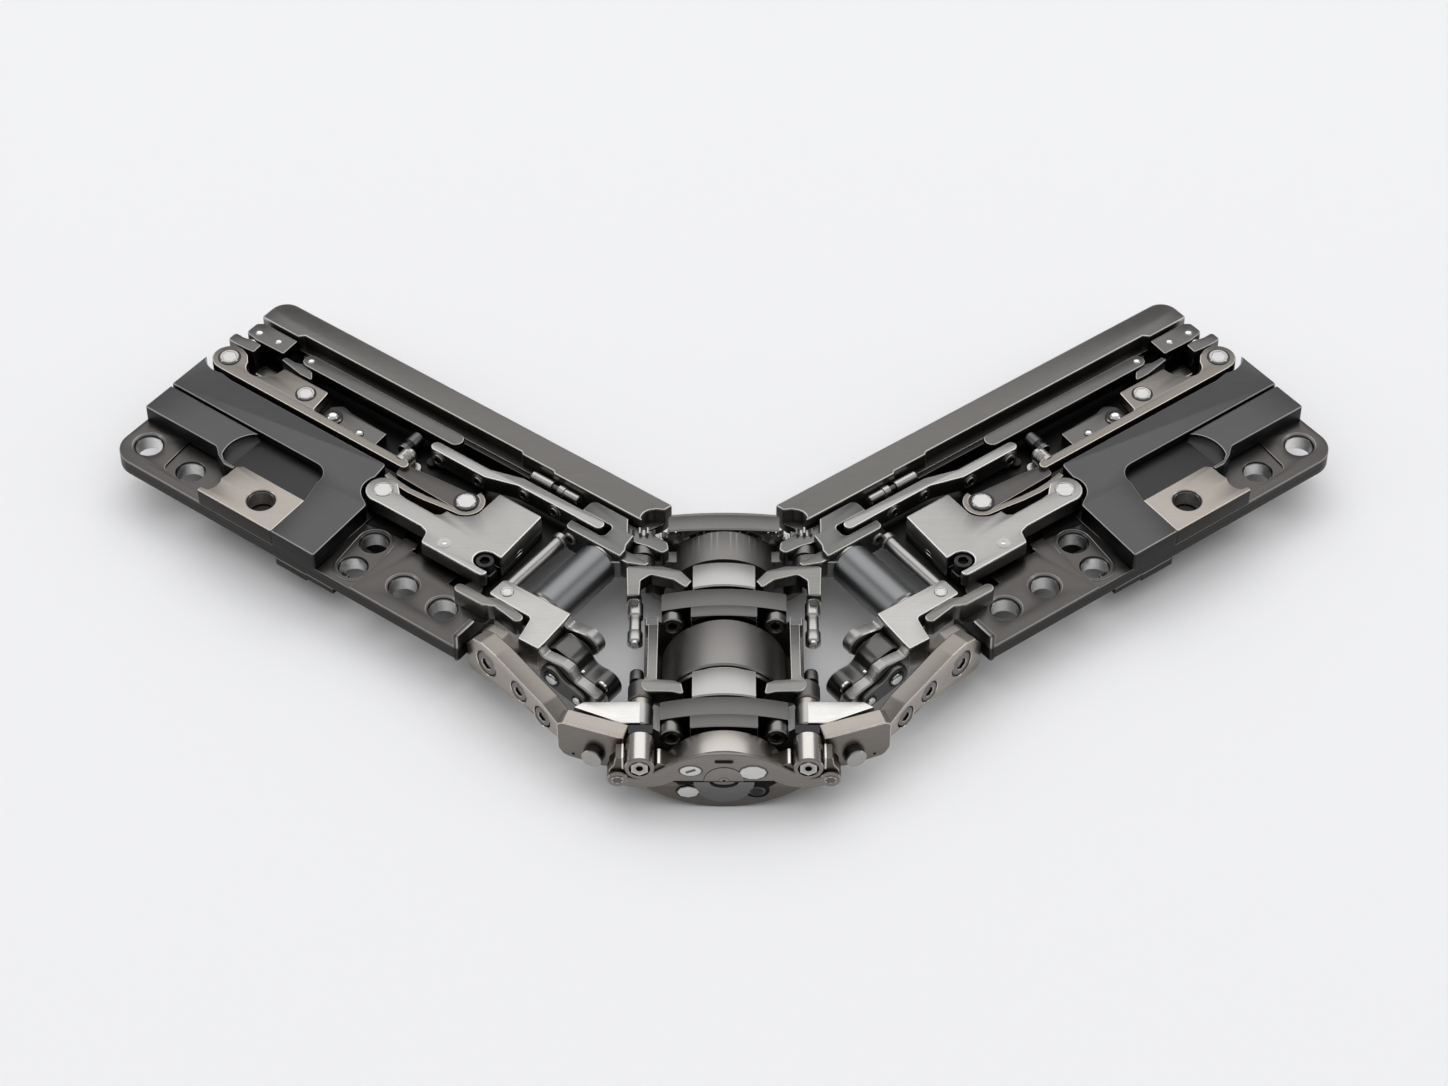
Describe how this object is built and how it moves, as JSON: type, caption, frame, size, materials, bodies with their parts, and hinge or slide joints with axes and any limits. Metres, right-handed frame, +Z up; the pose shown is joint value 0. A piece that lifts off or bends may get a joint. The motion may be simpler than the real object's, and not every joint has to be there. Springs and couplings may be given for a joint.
{
  "type": "folding phone hinge",
  "caption": "Folding phone hinge, open flat: two slim wing plates with links and slide arms meet a drum spine in a V.",
  "frame": {"origin": "middle of the footprint, on the plane that the underside rests on", "axes": "+X across the spine to the right wing, +Y along the spine from the front cap to the back, +Z up"},
  "size_m": [0.0728, 0.0374, 0.0046],
  "materials": {
    "steel": "brushed",
    "dark_metal": "satin",
    "bronze": "satin",
    "plate_alloy": "satin"
  },
  "bodies": {
    "spine": {"end_cap": "bronze", "spine_cover": "dark_metal", "front_collar": "dark_metal", "saddles": "steel", "main_barrel": "dark_metal", "rear_collar": "dark_metal", "rear_drum": "dark_metal", "centre_shaft": "steel", "bridge_plate": "dark_metal", "collar_rollers": "steel", "fold_bushes": "steel", "friction_blocks": "dark_metal"},
    "left_carriage": {"left_rear_block": "steel", "left_front_block": "steel", "left_side_links": "dark_metal", "left_cross_shafts": "steel", "left_front_arm": "bronze", "left_gusset": "steel", "left_t_bracket": "steel", "left_bent_bracket": "steel", "left_drop_link": "dark_metal", "left_pinion": "steel", "left_carriage_pins": "steel"},
    "right_carriage": {"right_rear_block": "steel", "right_front_block": "steel", "right_side_links": "dark_metal", "right_cross_shafts": "steel", "right_front_arm": "bronze", "right_gusset": "steel", "right_t_bracket": "steel", "right_bent_bracket": "steel", "right_drop_link": "dark_metal", "right_pinion": "steel", "right_carriage_pins": "steel"},
    "left_wing": {"left_base_plate": "plate_alloy", "left_cover_plate": "dark_metal", "left_mounting_pad": "bronze", "left_edge_rail": "steel", "left_long_lever": "bronze", "left_slide_links": "dark_metal", "left_latch_bracket": "steel", "left_short_link": "steel", "left_upper_arm": "steel", "left_lower_arm": "steel", "left_wing_pins": "steel"},
    "right_wing": {"right_base_plate": "plate_alloy", "right_cover_plate": "dark_metal", "right_mounting_pad": "bronze", "right_edge_rail": "steel", "right_long_lever": "bronze", "right_slide_links": "dark_metal", "right_latch_bracket": "steel", "right_short_link": "steel", "right_upper_arm": "steel", "right_lower_arm": "steel", "right_wing_pins": "steel"},
    "left_outer_idler": {"left_outer_idler": "steel"},
    "left_inner_idler": {"left_inner_idler": "steel"},
    "right_inner_idler": {"right_inner_idler": "steel"},
    "right_outer_idler": {"right_outer_idler": "steel"}
  },
  "joints": [
    {"name": "left_fold", "type": "hinge", "parent": "spine", "child": "left_carriage", "pos_m": [-0.0047, 0, 0.00328], "axis": [0, 1, 0], "range_deg": [0, 90]},
    {"name": "right_fold", "type": "hinge", "parent": "spine", "child": "right_carriage", "pos_m": [0.0047, 0, 0.00328], "axis": [0, 1, 0], "range_deg": [-90, 0]},
    {"name": "left_wing_slide", "type": "slide", "parent": "left_carriage", "child": "left_wing", "axis": [-0.7986, 0.6018, 0], "range_m": [0, 0.0008]},
    {"name": "right_wing_slide", "type": "slide", "parent": "right_carriage", "child": "right_wing", "axis": [0.7986, 0.6018, 0], "range_m": [0, 0.0008]},
    {"name": "left_outer_idler_turn", "type": "hinge", "parent": "spine", "child": "left_outer_idler", "pos_m": [-0.00282, 0, 0.00328], "axis": [0, 1, 0], "range_deg": [-90, 0]},
    {"name": "left_inner_idler_turn", "type": "hinge", "parent": "spine", "child": "left_inner_idler", "pos_m": [-0.00094, 0, 0.00328], "axis": [0, 1, 0], "range_deg": [0, 90]},
    {"name": "right_inner_idler_turn", "type": "hinge", "parent": "spine", "child": "right_inner_idler", "pos_m": [0.00094, 0, 0.00328], "axis": [0, 1, 0], "range_deg": [-90, 0]},
    {"name": "right_outer_idler_turn", "type": "hinge", "parent": "spine", "child": "right_outer_idler", "pos_m": [0.00282, 0, 0.00328], "axis": [0, 1, 0], "range_deg": [0, 90]}
  ],
  "couplings": [
    {"joint": "right_fold", "follows": "left_fold", "ratio": -1},
    {"joint": "left_wing_slide", "follows": "left_fold", "m_per_rad": 0.000509},
    {"joint": "right_wing_slide", "follows": "left_fold", "m_per_rad": 0.000509},
    {"joint": "left_outer_idler_turn", "follows": "left_fold", "ratio": -1},
    {"joint": "left_inner_idler_turn", "follows": "left_fold", "ratio": 1},
    {"joint": "right_inner_idler_turn", "follows": "left_fold", "ratio": -1},
    {"joint": "right_outer_idler_turn", "follows": "left_fold", "ratio": 1}
  ]
}
